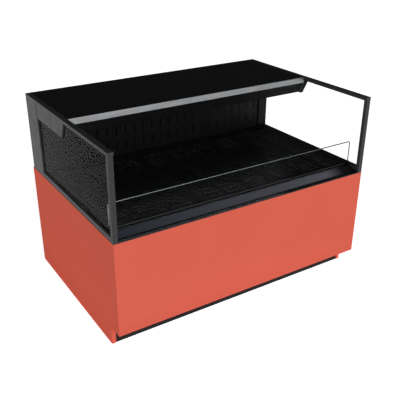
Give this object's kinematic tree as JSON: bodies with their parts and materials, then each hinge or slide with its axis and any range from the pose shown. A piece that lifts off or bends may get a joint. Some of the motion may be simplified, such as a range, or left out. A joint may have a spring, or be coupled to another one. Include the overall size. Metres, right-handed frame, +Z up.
{
  "type": "open-front refrigerated merchandiser",
  "caption": "Low open-front refrigerated display case with glazed ends, slotted deck, lit canopy and a boarded base that houses the cooling machine.",
  "frame": {"origin": "centre of the footprint, on the floor", "axes": "front faces -Y, +X to the right as a shopper faces it, +Z up"},
  "size_m": [1.219, 0.84, 0.831],
  "materials": {
    "coral_laminate": "satin coral laminate on board",
    "black_powder_coat": "fine-textured black powder coat",
    "black_gloss_coat": "smooth semi-gloss black paint",
    "graphite_anodised": "dark graphite anodised extrusion",
    "silver_anodised": "brushed silver anodised extrusion",
    "clear_glass": "clear tempered glass",
    "black_rubber": "matt black rubber",
    "chromed_wire": "bright chromed steel wire",
    "galvanised_steel": "spangled galvanised sheet",
    "foam_insulation": "rigid polyurethane foam",
    "white_liner": "white painted liner",
    "milky_acrylic": "milky diffusing acrylic, lit from behind",
    "compressor_enamel": "black enamel",
    "finned_aluminium": "thin mill-finish fins",
    "copper_tube": "drawn copper tube",
    "black_nylon": "moulded black nylon",
    "zinc_screw": "zinc plated steel"
  },
  "bodies": {
    "cabinet": {"air_discharge_honeycomb": "black_nylon", "back_panel": "black_powder_coat", "base_tray": "galvanised_steel", "base_trim": "black_gloss_coat", "bottom_rails": "graphite_anodised", "canopy_end_caps": "graphite_anodised", "canopy_fascia": "silver_anodised", "canopy_insulation": "foam_insulation", "canopy_liner": "black_powder_coat", "canopy_nose": "black_powder_coat", "canopy_top": "black_powder_coat", "compressor": "compressor_enamel", "condensate_pan": "galvanised_steel", "condenser_coil": "finned_aluminium", "condenser_fan_motor": "compressor_enamel", "control_box": "galvanised_steel", "cord_gland": "black_nylon", "deck_bearers": "galvanised_steel", "deck_front_rail": "black_powder_coat", "drain_tube": "black_nylon", "evaporator_coil": "finned_aluminium", "evaporator_fan_motors": "compressor_enamel", "fan_shroud": "galvanised_steel", "frame_posts": "galvanised_steel", "front_ledge": "black_gloss_coat", "front_posts": "graphite_anodised", "glazing_gaskets": "black_rubber", "led_diffuser": "milky_acrylic", "led_housing": "silver_anodised", "left_end_glass": "clear_glass", "left_side_panel": "coral_laminate", "rear_columns": "graphite_anodised", "rear_insulation": "foam_insulation", "rear_outer_skin": "black_powder_coat", "refrigerant_lines": "copper_tube", "right_end_glass": "clear_glass", "right_side_panel": "coral_laminate", "top_rails": "graphite_anodised", "tub_insulation": "foam_insulation", "tub_liner": "white_liner", "tub_outer": "galvanised_steel"},
    "front_panel": {"front_panel": "coral_laminate"},
    "toe_kick": {"toe_kick": "black_powder_coat"},
    "service_panel": {"service_panel": "galvanised_steel", "service_panel_screws": "zinc_screw"},
    "deck_pan_left": {"deck_pan_left": "black_powder_coat"},
    "deck_pan_middle": {"deck_pan_middle": "black_powder_coat"},
    "deck_pan_right": {"deck_pan_right": "black_powder_coat"},
    "return_air_grille": {"return_air_grille": "black_gloss_coat"},
    "product_guard": {"product_guard": "chromed_wire"},
    "condenser_fan": {"condenser_fan_blade": "black_nylon"},
    "evaporator_fan_left": {"evaporator_fan_blade_left": "black_nylon"},
    "evaporator_fan_right": {"evaporator_fan_blade_right": "black_nylon"},
    "power_switch": {"power_switch": "black_nylon"},
    "light_switch": {"light_switch": "black_nylon"},
    "foot_front_left": {"foot_front_left": "zinc_screw"},
    "foot_front_right": {"foot_front_right": "zinc_screw"},
    "foot_rear_left": {"foot_rear_left": "zinc_screw"},
    "foot_rear_right": {"foot_rear_right": "zinc_screw"}
  },
  "joints": [
    {"name": "front_panel_pull", "type": "slide", "parent": "cabinet", "child": "front_panel", "axis": [0, -1, 0], "range_m": [0, 0.3]},
    {"name": "toe_kick_pull", "type": "slide", "parent": "cabinet", "child": "toe_kick", "axis": [0, -1, 0], "range_m": [0, 0.2]},
    {"name": "service_panel_pull", "type": "slide", "parent": "cabinet", "child": "service_panel", "axis": [0, 1, 0], "range_m": [0, 0.3]},
    {"name": "deck_pan_left_lift", "type": "slide", "parent": "cabinet", "child": "deck_pan_left", "axis": [0, 0, 1], "range_m": [0, 0.15]},
    {"name": "deck_pan_middle_lift", "type": "slide", "parent": "cabinet", "child": "deck_pan_middle", "axis": [0, 0, 1], "range_m": [0, 0.15]},
    {"name": "deck_pan_right_lift", "type": "slide", "parent": "cabinet", "child": "deck_pan_right", "axis": [0, 0, 1], "range_m": [0, 0.15]},
    {"name": "return_air_grille_lift", "type": "slide", "parent": "cabinet", "child": "return_air_grille", "axis": [0, 0, 1], "range_m": [0, 0.15]},
    {"name": "product_guard_lift", "type": "slide", "parent": "cabinet", "child": "product_guard", "axis": [0, 0, 1], "range_m": [0, 0.15]},
    {"name": "foot_front_left_screw", "type": "slide", "parent": "cabinet", "child": "foot_front_left", "axis": [0, 0, -1], "range_m": [0, 0.015]},
    {"name": "foot_front_right_screw", "type": "slide", "parent": "cabinet", "child": "foot_front_right", "axis": [0, 0, -1], "range_m": [0, 0.015]},
    {"name": "foot_rear_left_screw", "type": "slide", "parent": "cabinet", "child": "foot_rear_left", "axis": [0, 0, -1], "range_m": [0, 0.015]},
    {"name": "foot_rear_right_screw", "type": "slide", "parent": "cabinet", "child": "foot_rear_right", "axis": [0, 0, -1], "range_m": [0, 0.015]},
    {"name": "condenser_fan_spin", "type": "hinge", "parent": "cabinet", "child": "condenser_fan", "pos_m": [-0.2, -0.227, 0.17], "axis": [0, 1, 0], "continuous": true},
    {"name": "evaporator_fan_left_spin", "type": "hinge", "parent": "cabinet", "child": "evaporator_fan_left", "pos_m": [-0.21, 0.211, 0.43], "axis": [0, 1, 0], "continuous": true},
    {"name": "evaporator_fan_right_spin", "type": "hinge", "parent": "cabinet", "child": "evaporator_fan_right", "pos_m": [0.21, 0.211, 0.43], "axis": [0, 1, 0], "continuous": true},
    {"name": "power_switch_rock", "type": "hinge", "parent": "cabinet", "child": "power_switch", "pos_m": [0.43, 0.4085, 0.262], "axis": [1, 0, 0], "range_deg": [0, 18]},
    {"name": "light_switch_rock", "type": "hinge", "parent": "cabinet", "child": "light_switch", "pos_m": [0.48, 0.4085, 0.262], "axis": [1, 0, 0], "range_deg": [0, 18]}
  ]
}
